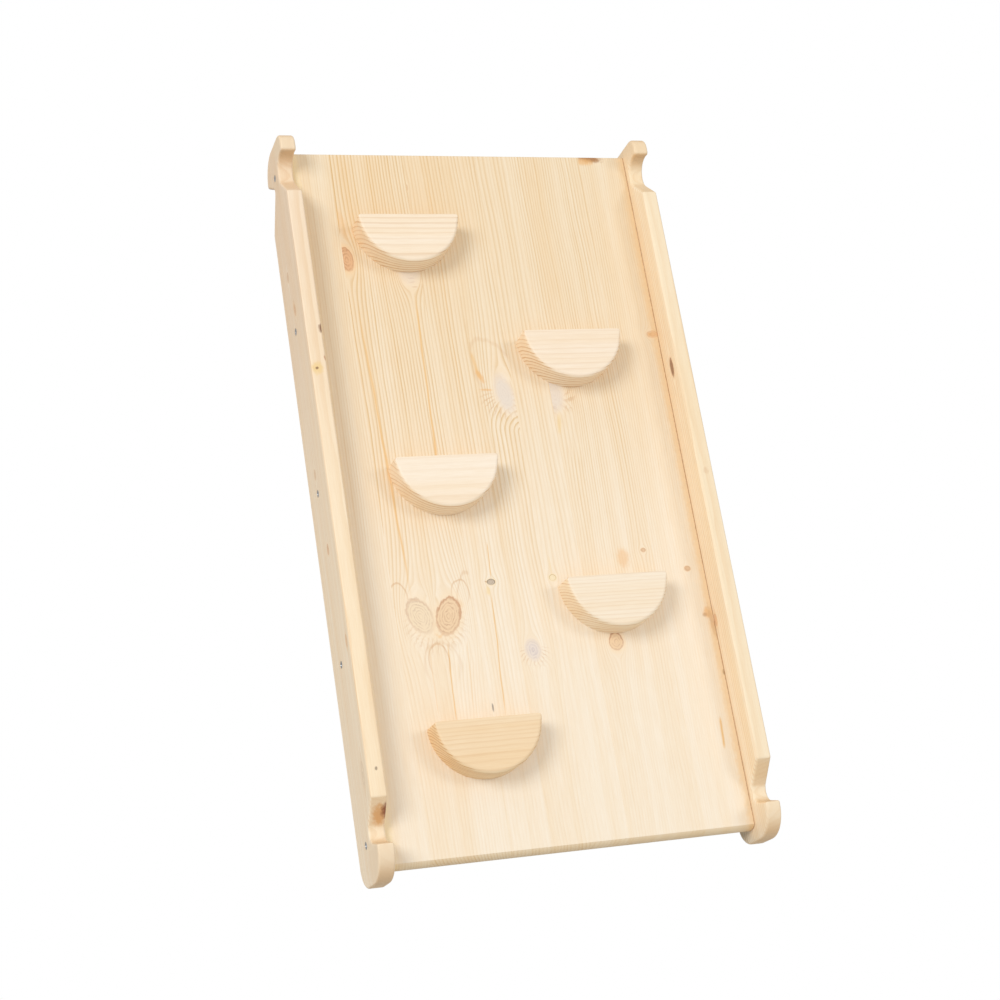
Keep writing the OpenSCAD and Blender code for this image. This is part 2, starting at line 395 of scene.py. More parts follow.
def make_screws(node, spots, turn, length, material):
    """Countersunk screws with a cross recess, one object for each CAD node."""
    bm = bmesh.new()
    head, shank, rim = HEAD_R * MM, SHANK_R * MM, HEAD_RIM * MM
    profile = [(0, 0), (head - 2 * rim, 0), (head - rim, -0.3 * rim), (head, -rim),
               (head - 0.3 * rim, -1.6 * rim), (shank, shank - head - rim),
               (shank, TIP_L * MM - length), (0, -length)]
    for spot in spots:
        lathe(bm, profile[::-1], Matrix.Translation(spot) @ turn)
    bmesh.ops.recalc_face_normals(bm, faces=bm.faces)
    screws = mesh_object(node + "_heads", bm)
    cut(screws, recess_cutter(spots, turn))
    finish_piece(screws, node, material)


def recess_cutter(spots, turn):
    """Tapered cross, wide at the top, that is cut out of each head."""
    bm = bmesh.new()
    arm, half, depth = RECESS_ARM * MM, RECESS_HALF_W * MM, RECESS_DEPTH * MM
    plan = [(arm, -half), (arm, half), (half, half), (half, arm), (-half, arm), (-half, half),
            (-arm, half), (-arm, -half), (-half, -half), (-half, -arm), (half, -arm), (half, -half)]
    for spot in spots:
        matrix = Matrix.Translation(spot) @ turn
        top = [bm.verts.new(matrix @ Vector((x * 1.2, y * 1.2, depth * 0.3))) for x, y in plan]
        foot = [bm.verts.new(matrix @ Vector((x * 0.4, y * 0.4, -depth))) for x, y in plan]
        for i in range(len(plan)):
            j = (i + 1) % len(plan)
            bm.faces.new((top[i], foot[i], foot[j], top[j]))
        bm.faces.new(top)
        bm.faces.new(foot[::-1])
    bmesh.ops.recalc_face_normals(bm, faces=bm.faces)
    return mesh_object("recesses", bm)


# ---- Wood -----------------------------------------------------------------------------------

class Graph:
    """Short calls for building a node tree. A socket or a plain number can stand for any input."""

    def __init__(self, tree):
        self.tree = tree

    def add(self, kind, inputs=(), **settings):
        node = self.tree.nodes.new(kind)
        for key, value in settings.items():
            setattr(node, key, value)
        for key, value in dict(inputs).items():
            if isinstance(value, bpy.types.NodeSocket):
                self.tree.links.new(value, node.inputs[key])
            else:
                node.inputs[key].default_value = value
        return node

    def math(self, operation, *values, clamp=False):
        return self.add("ShaderNodeMath", enumerate(values), operation=operation, use_clamp=clamp).outputs[0]

    def plus(self, a, b):
        return self.math("ADD", a, b)

    def times(self, a, b):
        return self.math("MULTIPLY", a, b)

    def smooth(self, value, start, end, low=0.0, high=1.0):
        """Goes smoothly from low at start to high at end."""
        ends = {"Value": value, "From Min": start, "From Max": end, "To Min": low, "To Max": high}
        return self.add("ShaderNodeMapRange", ends, interpolation_type="SMOOTHSTEP").outputs[0]

    def vector(self, x, y, z):
        return self.add("ShaderNodeCombineXYZ", {"X": x, "Y": y, "Z": z}).outputs[0]

    def noise(self, x, y, z, detail=2.0, roughness=0.5):
        """Noise from about -0.5 to 0.5 at the point x, y, z."""
        node = self.add("ShaderNodeTexNoise", {"Vector": self.vector(x, y, z), "Scale": 1.0,
                                               "Detail": detail, "Roughness": roughness})
        return self.plus(node.outputs["Fac"], -0.5)

    def mix(self, factor, a, b, blend="MIX"):
        node = self.add("ShaderNodeMix", data_type="RGBA", blend_type=blend, clamp_factor=True)
        for key, value in ((0, factor), (6, a), (7, b)):
            if isinstance(value, bpy.types.NodeSocket):
                self.tree.links.new(value, node.inputs[key])
            else:
                node.inputs[key].default_value = value
        return node.outputs[2]


def new_material(name):
    """A material with an empty node tree, and the graph that fills it."""
    material = bpy.data.materials.new(name)
    material.use_nodes = True
    material.node_tree.nodes.clear()
    return material, Graph(material.node_tree)


def srgb(red, green, blue):
    """A colour given as 0 to 255 screen values."""
    def linear(c):
        c /= 255
        return c / 12.92 if c <= 0.04045 else ((c + 0.055) / 1.055) ** 2.4
    return (linear(red), linear(green), linear(blue), 1.0)


# Kinds of knot: colours of the heart, its ring lines, its rim and the stain round it; how soft its outline
# is, how strong its rings and its rim are
KNOTS = {
    "brown": dict(heart=srgb(228, 182, 138), lines=srgb(180, 124, 86), rim=srgb(188, 128, 86),
                  stain=srgb(246, 208, 158), soft=0.16, rings=0.75, edge=0.6),
    "pink": dict(heart=srgb(240, 210, 172), lines=srgb(190, 144, 112), rim=srgb(190, 132, 92),
                 stain=srgb(249, 224, 188), soft=0.16, rings=0.7, edge=0.7),
    "pale": dict(heart=srgb(243, 222, 190), lines=srgb(196, 166, 144), rim=srgb(198, 158, 128),
                 stain=srgb(249, 228, 198), soft=0.24, rings=0.6, edge=0.45),
    "lilac": dict(heart=srgb(234, 221, 206), lines=srgb(216, 200, 188), rim=srgb(228, 206, 186),
                  stain=srgb(249, 232, 208), soft=0.45, rings=0.4, edge=0.1),
    "violet": dict(heart=srgb(232, 219, 208), lines=srgb(196, 184, 186), rim=srgb(214, 198, 188),
                   stain=srgb(249, 231, 208), soft=0.5, rings=0.9, edge=0.3),
    "ring": dict(heart=srgb(204, 188, 168), lines=srgb(150, 128, 104), rim=srgb(104, 84, 66),
                 stain=srgb(244, 216, 168), soft=0.25, rings=0.5, edge=1.0),
    "olive": dict(heart=srgb(246, 230, 196), lines=srgb(216, 186, 130), rim=srgb(196, 164, 96),
                  stain=srgb(246, 226, 184), soft=0.2, rings=0.3, edge=1.0),
    "red": dict(heart=srgb(226, 190, 152), lines=srgb(176, 118, 80), rim=srgb(198, 146, 104),
                stain=srgb(244, 216, 176), soft=0.25, rings=0.5, edge=0.6),
    "dark": dict(heart=srgb(150, 104, 74), lines=srgb(104, 70, 52), rim=srgb(120, 80, 58),
                 stain=srgb(232, 190, 144), soft=0.25, rings=0.4, edge=0.6),
}
RESIN = srgb(236, 190, 124)
HAIR = srgb(214, 170, 124)
FIBRE = srgb(241, 226, 204)
SPECKLE = 1800.0            # grain of the cut ends, in noise cells per metre


# What every detail of a board needs: the graph, the place on the board in millimetres, and two noises
Wood = namedtuple("Wood", "g across along through fine ragged")


def turned(wood, u, v, lean):
    """Place relative to (u, v), turned by lean degrees."""
    g = wood.g
    du, dv = g.plus(wood.across, -u), g.plus(wood.along, -v)
    c, s = math.cos(math.radians(lean)), math.sin(math.radians(lean))
    return g.plus(g.times(du, c), g.times(dv, s)), g.plus(g.times(dv, c), g.times(du, -s))


def ellipse_distance(wood, shape):
    """Distance from the middle of an ellipse (u, v, half_u, half_v, lean), in its own radii."""
    g = wood.g
    u, v, half_u, half_v, lean = shape
    p, q = turned(wood, u, v, lean)
    p, q = g.times(p, 1 / half_u), g.times(q, 1 / half_v)
    return g.math("SQRT", g.plus(g.times(p, p), g.times(q, q))), q


def parting(wood, shape):
    """How far a knot pushes the grain sideways: all the way inside it, less and less round it."""
    g = wood.g
    u, v, half_u, half_v, _ = shape
    du = g.plus(wood.across, -u)
    p = g.times(du, 1 / (1.15 * half_u))
    q = g.times(g.plus(wood.along, -v), 1 / (1.6 * half_v))
    reach = g.math("MAXIMUM", g.plus(g.times(p, p), g.times(q, q)), 1.0)
    return g.math("DIVIDE", g.times(du, -1.0), reach)


def stripes(g, value, sharp=0.45):
    """Thin lines, one for each whole number that the value passes. They start at sharp, a share of one."""
    phase = g.math("FRACT", value)
    return g.times(g.smooth(phase, sharp, 0.88), g.smooth(phase, 0.9, 1.0, 1.0, 0.0))


def growth_rings(wood, board, seed):
    """The place across the board, bent by slow noise and pushed aside by knots, and how many growth rings
    lie between it and the pith."""
    g, along, through = wood.g, wood.along, wood.through
    slow = g.noise(g.times(wood.across, 0.016), g.times(along, 0.0042), g.plus(g.times(through, 0.02), seed),
                   1.0)
    bent = g.plus(g.plus(wood.across, g.times(slow, board.get("sway", 9.0))), g.times(wood.fine, 1.3))
    for knot in board.get("knots", ()):
        bent = g.plus(bent, parting(wood, knot[:5]))
    pith_u, pith_w = board["pith"]
    radial_u, radial_w = g.plus(bent, -pith_u), g.plus(through, -pith_w)
    radius = g.math("SQRT", g.plus(g.times(radial_u, radial_u), g.times(radial_w, radial_w)))
    breathe = g.noise(g.times(radius, 0.05), seed + 11, 0.0, 1.0)
    rings = g.plus(g.times(radius, 1 / board["ring"]), g.times(breathe, board.get("uneven", 1.6)))
    return bent, rings


def late_wood(wood, board, rings, seed):
    """How much late wood there is: a line for each ring, some stronger than others."""
    g = wood.g
    strength = g.add("ShaderNodeTexWhiteNoise", {"W": g.plus(g.math("FLOOR", rings), seed)},
                     noise_dimensions="1D").outputs["Value"]
    patchy = g.noise(g.times(wood.across, 0.03), g.times(wood.along, 0.006), seed + 21, 1.0)
    return g.times(stripes(g, rings, board.get("sharp", 0.3)),
                   g.plus(g.smooth(strength, 0.0, 1.0, 0.45, 1.0), patchy))


def add_arches(wood, late, rows):
    """Lines of late wood that bend over each other beside a knot, in place of the straight ones."""
    g = wood.g
    for u, v, squash, spacing, reach, down, depth in rows:
        du, dv = g.plus(wood.across, -u), g.plus(wood.along, -v)
        over = g.times(g.math("MAXIMUM", dv, 0.0), 1 / squash)
        far = g.plus(g.math("SQRT", g.plus(g.times(du, du), g.times(over, over))), g.times(wood.fine, 2.5))
        window = g.times(g.smooth(far, 0.8 * reach, reach, 1.0, 0.0), g.smooth(dv, -down, -0.5 * down))
        arch = g.times(stripes(g, g.times(far, 1 / spacing)), depth)
        late = g.plus(g.times(late, g.plus(1.0, g.times(window, -0.85))), g.times(arch, window))
    return late


def add_streaks(wood, colour, rows):
    """Resin streaks along the grain."""
    g = wood.g
    for u, start, end, drift, width, depth in rows:
        t = g.times(g.plus(wood.along, -(start + end) / 2), 2 / (end - start))
        offset = g.plus(g.plus(wood.across, g.times(wood.fine, 3.0)), g.plus(g.times(t, -drift), -u))
        near = g.smooth(g.math("ABSOLUTE", offset), 0.0, width, 1.0, 0.0)
        window = g.smooth(g.math("ABSOLUTE", t), 0.6, 1.0, 1.0, 0.0)
        colour = g.mix(g.times(g.times(near, window), depth), colour, RESIN)
    return colour


def add_stains_and_shade(wood, colour, rows):
    """Soft stains, and bands of painted shade beside the rails on staves 1 and 7."""
    g = wood.g
    for *shape, tint, depth in rows:
        distance, _ = ellipse_distance(wood, shape)
        distance = g.plus(distance, g.times(wood.ragged, 0.7))
        colour = g.mix(g.smooth(distance, 0.35, 1.1, depth, 0.0), colour, tint)
    return colour


def add_spots_and_shade(wood, colour, rows):
    """Stains that also end somewhere through the board, and large patches of painted shade at the rails'
    rounded ends.
    """
    g = wood.g
    for a, b, c, half_a, half_b, half_c, tint, depth in rows:
        offsets = ((wood.across, a, half_a), (wood.along, b, half_b), (wood.through, c, half_c))
        parts = [g.times(g.plus(value, -middle), 1 / half) for value, middle, half in offsets]
        squares = [g.times(part, part) for part in parts]
        distance = g.math("SQRT", g.plus(g.plus(squares[0], squares[1]), squares[2]))
        distance = g.plus(distance, g.times(wood.ragged, 0.8))
        colour = g.mix(g.smooth(distance, 0.4, 1.1, depth, 0.0), colour, tint)
    return colour


def add_loops(wood, colour, rows):
    """Thin loops of grain beside knots, open at the foot."""
    g = wood.g
    for *shape, depth in rows:
        distance, q = ellipse_distance(wood, shape)
        off = g.math("ABSOLUTE", g.plus(g.plus(distance, -1.0), g.times(wood.fine, 0.3)))
        thread = g.times(g.smooth(off, 0.02, 0.11, depth, 0.0), g.smooth(q, -0.9, 0.1))
        colour = g.mix(thread, colour, HAIR)
    return colour


def add_hair(wood, colour, rows):
    """Short lines that leave a knot downwards and curl out."""
    g = wood.g
    for u, v, inner, outer, count, curl, depth in rows:
        du, dv = g.plus(wood.across, -u), g.plus(v, g.times(wood.along, -1.0))
        far = g.math("SQRT", g.plus(g.times(du, du), g.times(dv, dv)))
        angle = g.math("ARCTAN2", du, dv)
        bend = g.times(g.times(far, angle), curl)
        turns = g.plus(g.times(g.plus(angle, bend), count / math.pi), g.times(wood.ragged, 0.9))
        window = g.times(g.smooth(far, inner, inner + 5), g.smooth(far, outer - 12, outer, 1.0, 0.0))
        window = g.times(window, g.smooth(g.math("ABSOLUTE", angle), 1.5, 2.2, 1.0, 0.0))
        colour = g.mix(g.times(g.times(stripes(g, turns, 0.5), window), depth), colour, HAIR)
    return colour


def add_knots(wood, colour, rows):
    """Knots: a stain round each, a heart with rings, and a rim that is strongest at the top."""
    g = wood.g
    for *shape, tone, depth in rows:
        kind = KNOTS[tone]
        soft = kind["soft"]
        distance, q = ellipse_distance(wood, shape)
        wander = g.plus(wood.fine, g.times(wood.ragged, 0.9))
        ring = g.plus(g.times(distance, 0.4 * min(shape[2:4])), g.times(wander, 1.4))
        distance = g.plus(distance, g.times(wood.ragged, 0.35))
        colour = g.mix(g.smooth(distance, 1.0, 1.7, 0.55 * depth, 0.0), colour, kind["stain"])
        swirl = g.plus(0.5, g.plus(g.times(wood.ragged, 1.6), g.times(wood.fine, 1.2)))
        ringed = g.times(g.times(stripes(g, ring, 0.2), swirl), kind["rings"])
        inner = g.mix(ringed, kind["heart"], kind["lines"])
        colour = g.mix(g.smooth(distance, 1.0 - soft, 1.0 + soft, depth, 0.0), colour, inner)
        edge = g.times(g.smooth(distance, 0.86, 0.98), g.smooth(distance, 0.99, 1.0 + 0.7 * soft, 1.0, 0.0))
        edge = g.times(edge, g.smooth(g.plus(q, g.times(wood.ragged, 1.5)), -1.3, 0.5, 0.3, 1.0))
        colour = g.mix(g.times(edge, kind["edge"] * depth), colour, kind["rim"])
    return colour


def pine(name, board, seed):
    """Pine cut to one board, with the details that its table gives it.

    board: axes (which object axis is across, along and through the board), pith (across, through), ring
    (spacing of the growth rings), sway and uneven (how much they wander, and how much their spacing varies),
    sharp (where in a ring its line starts), early, late and warm colours, line, edge_line and end_line
    (strength of the late wood on the board's face, round its edges and on its ends), calm (where along the
    board the lines get weaker, and how weak), fade (where along the board a tint comes in, and the tint),
    edge_tint, end_tints, and the lists of details.
    """
    material, g = new_material(name)
    coords = g.add("ShaderNodeTexCoord")
    place = g.add("ShaderNodeSeparateXYZ", {"Vector": coords.outputs["Object"]}).outputs
    facing = g.add("ShaderNodeSeparateXYZ", {"Vector": coords.outputs["Normal"]}).outputs
    across, along, through = (g.times(place["XYZ".index(axis)], 1 / MM) for axis in board["axes"])
    end_grain = g.smooth(g.math("ABSOLUTE", facing["XYZ".index(board["axes"][1])]), 0.35, 0.9)
    on_edge = g.smooth(g.math("ABSOLUTE", facing["XYZ".index(board["axes"][2])]), 0.9, 0.5)
    fine = g.noise(g.times(across, 0.11), g.times(along, 0.02), g.plus(g.times(through, 0.1), seed + 5), 2.0)
    ragged = g.noise(g.times(across, 0.3), g.times(along, 0.2), g.plus(g.times(through, 0.3), seed + 3), 2.0)
    wood = Wood(g, across, along, through, fine, ragged)

    bent, rings = growth_rings(wood, board, seed)
    late = late_wood(wood, board, rings, seed)
    late = add_arches(wood, late, board.get("arches", ()))

    # Early wood to late wood, broad stripes, fibres, and the tints of the edges and of the top end
    broad = g.noise(g.times(bent, 0.06), g.times(along, 0.0016), seed + 31, 2.0)
    fibre = g.noise(g.times(bent, 1.1), g.times(along, 0.035), g.times(through, 1.1), 3.0, 0.65)
    line = g.smooth(on_edge, 0.0, 1.0, board["line"], board.get("edge_line", board["line"]))
    line = g.times(line, g.smooth(end_grain, 0.0, 1.0, 1.0, board.get("end_line", 0.6)))
    if "calm" in board:
        line = g.times(line, g.math("MAXIMUM", g.smooth(along, *board["calm"], 1.0), end_grain))
    colour = g.mix(g.times(late, line), board["early"], board["late"])
    colour = g.mix(g.smooth(broad, -0.25, 0.25, 0.0, 0.5), colour, board["warm"], "MULTIPLY")
    colour = g.mix(g.smooth(fibre, -0.25, 0.3, 0.0, 0.35), colour, FIBRE, "MULTIPLY")
    colour = g.mix(on_edge, colour, board["edge_tint"], "MULTIPLY")
    if "fade" in board:
        start, end, tint = board["fade"]
        colour = g.mix(g.smooth(along, start, end), colour, tint, "MULTIPLY")

    for kind, add in (("streaks", add_streaks), ("stains_and_shade", add_stains_and_shade), ("spots", add_spots_and_shade),
                      ("loops", add_loops), ("hair", add_hair), ("knots", add_knots)):
        colour = add(wood, colour, board.get(kind, ()))

    # Cut ends drink more oil and are tinted darker; the rails' darker end tints also paint shade on their
    # rounded noses
    speckle = g.noise(*(g.times(place[i], SPECKLE) for i in range(3)), 2.0)
    end_tint = g.mix(g.smooth(speckle, -0.2, 0.2), *board["end_tints"])
    colour = g.mix(g.times(end_grain, 0.85), colour, end_tint, "MULTIPLY")

    height = g.plus(g.times(late, 0.5), g.times(fibre, 0.6))
    bump = g.add("ShaderNodeBump", {"Height": height, "Strength": 0.22, "Distance": 0.0003})
    rough = g.plus(g.times(fibre, 0.12), g.smooth(late, 0.0, 1.0, 0.56, 0.48))
    shader = g.add("ShaderNodeBsdfPrincipled", {"Base Color": colour, "Roughness": rough,
                                                "Normal": bump.outputs[0], "Specular IOR Level": 0.35})
    g.add("ShaderNodeOutputMaterial", {"Surface": shader.outputs[0]})
    return material


def steel():
    """Bright zinc plate, a little cloudy, with a fine grit."""
    material, g = new_material("zinc_steel")
    place = g.add("ShaderNodeSeparateXYZ", {"Vector": g.add("ShaderNodeTexCoord").outputs["Object"]}).outputs
    x, y, z = (g.times(place[i], 1 / MM) for i in range(3))
    cloud = g.noise(g.times(x, 0.7), g.times(y, 0.7), g.times(z, 0.7), 4.0, 0.6)
    grit = g.noise(g.times(x, 6.0), g.times(y, 6.0), g.times(z, 6.0), 2.0)
    colour = g.mix(g.smooth(cloud, -0.2, 0.2), srgb(150, 158, 168), srgb(205, 208, 210))
    rough = g.plus(0.34, g.times(grit, 0.2))
    bump = g.add("ShaderNodeBump", {"Height": grit, "Strength": 0.2, "Distance": 0.00005})
    shader = g.add("ShaderNodeBsdfPrincipled", {"Base Color": colour, "Roughness": rough, "Metallic": 1.0,
                                                "Normal": bump.outputs[0]})
    g.add("ShaderNodeOutputMaterial", {"Surface": shader.outputs[0]})
    return material


# ---- Boards: what grows in each one -------------------------------------------------------------

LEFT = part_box("deck_stave_1")[0].x / MM       # the deck's left edge and bottom end
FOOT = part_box("deck_stave_1")[0].y / MM
DETAILS = ("knots", "streaks", "arches", "stains_and_shade", "loops", "hair")

WHITE = srgb(255, 255, 255)
CREAM, AMBER = srgb(250, 238, 219), srgb(226, 193, 138)
WARM, RAIL_WARM = srgb(250, 238, 218), srgb(250, 236, 213)
RAIL_LATE, STEP_LATE = srgb(230, 192, 140), srgb(210, 162, 106)
OCHRE, ORANGE, GREY = srgb(244, 214, 156), srgb(236, 184, 120), srgb(226, 213, 204)
PITCH, RUST = srgb(170, 116, 66), srgb(196, 138, 92)
# The second colour is painted shade for the deck beside the right rail; SEAM is a dark line right at that
# joint.
SEAM, SHADE = srgb(176, 130, 84), srgb(238, 204, 156)

# What grows in each stave, in millimetres right of the deck's left edge and up from its bottom end:
#   knots   across, along, half width, half length, lean, kind, strength
#   streaks across, from, to, drift, half width, strength
#   arches  across, along, height to width, spacing, reach, how far down, strength
#   stains and painted shade  across, along, half width, half length, lean, colour, strength
#   loops   across, along, half width, half length, lean, strength
#   hair    across, along, from, to, how many, curl, strength
# The other values are the ones that pine() explains; pith is also counted from the deck's left edge.
DECK = {
    # Stave 1's yellowish band along its left edge is painted shade, the left rail's shadow on the deck.
    1: dict(pith=(-300, -25), ring=3.1, line=0.4, stains_and_shade=[(0, 400, 12, 1600, 0, srgb(255, 232, 180), 0.6)]),
    2: dict(pith=(-60, -30), ring=3.2, line=0.85, sway=6.0, knots=[
        (49.5, 687, 8.0, 14.5, 4, "brown", 0.95),
        (121, 672, 11, 15, 0, "lilac", 0.55),
        (73.0, 264, 13, 20, 22, "pale", 0.95),
        (104.5, 262, 13, 21.5, -20, "pink", 0.95)],
        streaks=[(61, 270, 640, -6, 2.2, 0.75), (121, 400, 655, 3, 2.0, 0.85), (97, 140, 236, 2, 1.1, 0.85),
                 (77, 150, 232, 0, 1.0, 0.3), (64, 700, 830, -6, 16, 0.2), (119, 155, 240, 3, 1.0, 0.3),
                 (90, 690, 840, 0, 44, 0.2)],
        arches=[(107, 229, 1.2, 4.4, 25, 26, 0.45), (69, 232, 0.9, 4.2, 19, 14, 0.35)],
        stains_and_shade=[(122, 663, 6, 0.9, 0, RUST, 0.5), (123, 658, 5, 0.8, 8, RUST, 0.45),
                (125, 652, 4, 0.8, 0, RUST, 0.4), (50, 732, 6, 24, 8, ORANGE, 0.35),
                (71, 265, 4.5, 6, 20, OCHRE, 0.8), (93, 241, 6, 2, 35, ORANGE, 0.5),
                (90, 241, 6, 2, -30, ORANGE, 0.35), (67, 283, 7, 2.2, -12, RUST, 0.3),
                (119, 274, 5, 6, 0, ORANGE, 0.4)],
        loops=[(53, 286, 9.5, 16.5, 4, 0.5), (121.5, 286, 9.5, 16, -4, 0.45), (130, 276, 13, 34, -6, 0.3),
               (87, 212, 11, 20, 0, 0.4), (90, 208, 20, 25, 0, 0.2), (73, 263, 9, 14, 22, 0.3)],
        hair=[(89, 256, 16, 40, 9, 0.02, 0.35)]),
    3: dict(pith=(-360, -30), ring=4.4, line=0.6, knots=[
        (158.7, 297, 4.4, 3.2, 0, "ring", 1.0), (133.5, 779, 2.2, 4.5, 0, "red", 0.6)],
        streaks=[(160, 299, 345, 1, 0.9, 0.9), (154, 140, 293, 4, 1.3, 0.85), (160, 455, 815, 2, 1.2, 0.3),
                 (155, 690, 840, 0, 40, 0.18)],
        stains_and_shade=[(154, 287, 3, 8, 0, OCHRE, 0.6), (153.5, 297.5, 2.6, 1.1, -20, PITCH, 0.7),
                (138, 158.5, 1.3, 5.5, 0, srgb(150, 140, 130), 0.85)]),
    4: dict(pith=(-380, -60), ring=4.2, line=0.6, sway=14.0, knots=[
        (211, 518, 9.5, 21, 10, "lilac", 0.95), (194, 217.5, 7.5, 10.5, 5, "violet", 0.85)],
        arches=[(224, 470, 1.3, 5.2, 42, 90, 1.2), (202, 196, 1.0, 4.5, 16, 40, 0.6)],
        streaks=[(182, 535, 572, -3, 3.4, 0.6), (198, 690, 840, 0, 34, 0.15)],
        stains_and_shade=[(194, 218, 6, 8, 0, GREY, 0.5), (193.5, 217.5, 1.4, 1.9, 0, srgb(136, 108, 104), 0.8),
                (190, 523, 10, 1.6, -4, ORANGE, 0.6), (185, 540, 4, 12, 25, ORANGE, 0.7),
                (211, 505, 9, 9, 0, GREY, 0.4)],
        loops=[(202, 548, 24, 40, 24, 0.2)],
        hair=[(194, 216, 7, 22, 7, 0.03, 0.5), (209, 514, 9, 32, 8, 0.02, 0.5)]),
    5: dict(pith=(420, -20), ring=4.4, line=0.4, knots=[(230.5, 297.5, 3.8, 3.4, 0, "olive", 0.9)],
            stains_and_shade=[(230, 310, 1.5, 14, 0, OCHRE, 0.3)]),
    6: dict(pith=(520, -60), ring=2.9, line=0.6, knots=[
        (271, 517, 10, 21, 0, "lilac", 0.85), (291.5, 220, 8.0, 10.0, 0, "pink", 0.95),
        (344, 323, 3.0, 2.4, 0, "red", 0.8)],
        streaks=[(290, 600, 840, 0, 30, 0.12)],
        arches=[(266, 488, 1.1, 5.0, 30, 60, 0.5)],
        stains_and_shade=[(318, 315, 9, 15, 0, ORANGE, 0.45), (291.5, 221, 2.6, 3.2, 0, CREAM, 0.8),
                (268, 499, 3.5, 3, 20, PITCH, 0.7), (271, 482, 3, 20, -8, OCHRE, 0.5)],
        hair=[(271, 515, 9, 30, 8, -0.02, 0.5)]),
    7: dict(pith=(560, -40), ring=2.7, line=0.35, knots=[
        (407, 587, 7, 4.2, 0, "brown", 0.4), (393.3, 298, 3.6, 3.0, 0, "red", 0.9)],
        streaks=[(396.5, 88, 128, 1, 2.4, 0.9)],
        stains_and_shade=[(370, 819.5, 19, 6.5, -5, PITCH, 0.9), (362, 815, 14, 6, 0, ORANGE, 0.7),
                (407, 587, 8, 4, 0, ORANGE, 0.75), (408, 246, 7, 8, -30, ORANGE, 0.7),
                (411, 232, 3.5, 26, 6, PITCH, 0.55), (404, 243, 4, 3, 30, PITCH, 0.4),
                # The wide band along the right edge is painted shade beside the right rail; the thin one is
                # a dark line right at the joint.
                (413, 176, 2.2, 4.5, 0, srgb(96, 66, 50), 0.9), (414, 400, 10, 1600, 0, SHADE, 0.6),
                (414.2, 400, 1.5, 1600, 0, SEAM, 0.85)]),
}


def on_deck(board):
    """The details, moved from deck places to the frame."""
    moved = dict(board)
    for kind in DETAILS:
        rows = board.get(kind, ())
        if kind == "streaks":
            moved[kind] = [(u + LEFT, start + FOOT, end + FOOT, *rest) for u, start, end, *rest in rows]
        else:
            moved[kind] = [(u + LEFT, v + FOOT, *rest) for u, v, *rest in rows]
    return moved


def deck_material(number):
    """The deck is paler and calmer towards its bottom end."""
    board = dict(axes="XYZ", early=CREAM, late=AMBER, warm=WARM, edge_tint=WHITE,
                 fade=(-200, 330, srgb(250, 245, 235)), calm=(-330, 120, 0.22),
                 end_tints=(srgb(254, 238, 212), srgb(255, 248, 228)), **on_deck(DECK[number]))
    board["pith"] = (board["pith"][0] + LEFT, board["pith"][1])
    return pine(f"deck_pine_{number}", board, 7.3 * number)


# What grows in each rail (-1 left, 1 right), in millimetres:
#   knots   height above the back edge, up from the deck's bottom end, half height, half length, lean, kind,
#           strength
#   spots   height, up, right of the rail's inner face, half sizes in the same order, colour, strength
RAIL_KNOTS = {
    -1: [
        (35, 670, 3.4, 6, 0, "red", 0.7), (46, 625, 3.6, 7, 10, "brown", 0.6),
        (36, 433, 3, 6, 0, "red", 0.6), (47, 344, 3.2, 6, 0, "brown", 0.7),
        (70, 236, 3, 7, 0, "brown", 0.5), (63, 96, 5, 13, 0, "pale", 0.7)],
    1: [
        (65, 536, 3.8, 11, 0, "dark", 0.85), (49, 235, 3, 7, 0, "brown", 0.6)],
}
RAIL_SPOTS_AND_SHADE = {
    -1: [
        (80, 587, -0.5, 4, 6, 4, srgb(140, 98, 70), 0.9),
        (80, 540, -11, 4, 9, 8, srgb(240, 208, 150), 0.9),
        (80, 540, -11.5, 4, 2.2, 2.2, srgb(140, 104, 74), 0.9),
        (80, 552, -1, 4, 4, 2, RUST, 0.7),
        (80, 98, -8, 2, 2.4, 1.8, srgb(150, 130, 108), 0.8),
        (66, 53, -7, 17, 15, 9, srgb(230, 180, 122), 0.9),
        (68, 57, 0, 14, 10, 6.5, srgb(150, 92, 62), 0.95),
        # The two large patches at the rail's ends are painted shade on its rounded noses.
        (70, 4, -9, 46, 32, 30, srgb(238, 214, 182), 0.7),
        (74, 826, -9, 44, 30, 30, srgb(238, 214, 180), 0.7)],
    1: [
        (80, 402, 9, 3, 5, 4, RUST, 0.2),
        # The two large patches at the rail's ends are painted shade on its rounded noses.
        (70, 4, 9, 46, 32, 30, srgb(240, 214, 180), 0.5),
        (74, 826, 9, 44, 30, 30, srgb(238, 210, 172), 0.7)],
}
# Early colour of each rail, and its tint towards the top end
RAIL_TONES = {
    -1: (srgb(252, 239, 218), srgb(249, 244, 243)),
    1: (srgb(250, 236, 212), WHITE),
}


def rail_material(side):
    """Pine of a rail, with its details measured from the rail's inner face and the deck's bottom end."""
    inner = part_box("left_rail")[1].x / MM if side < 0 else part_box("right_rail")[0].x / MM
    knots = [(w, v + FOOT, *rest) for w, v, *rest in RAIL_KNOTS[side]]
    spots = [(w, v + FOOT, x + inner, *rest) for w, v, x, *rest in RAIL_SPOTS_AND_SHADE[side]]
    early, top_tint = RAIL_TONES[side]
    board = dict(axes="ZYX", pith=(-90, side * 260), ring=3.6, sway=6.0,
                 early=early, late=RAIL_LATE, warm=RAIL_WARM,
                 line=0.55, edge_line=0.3, end_line=0.3,
                 edge_tint=srgb(255, 253, 248), fade=(-150, 350, top_tint),
                 # End tints darker than the deck's and the steps': end grain, and painted shade on the
                 # rails' rounded noses
                 end_tints=(srgb(236, 218, 196), srgb(246, 231, 211)),
                 knots=knots, spots=spots)
    return pine("left_rail_pine" if side < 0 else "right_rail_pine", board, 40 + side)


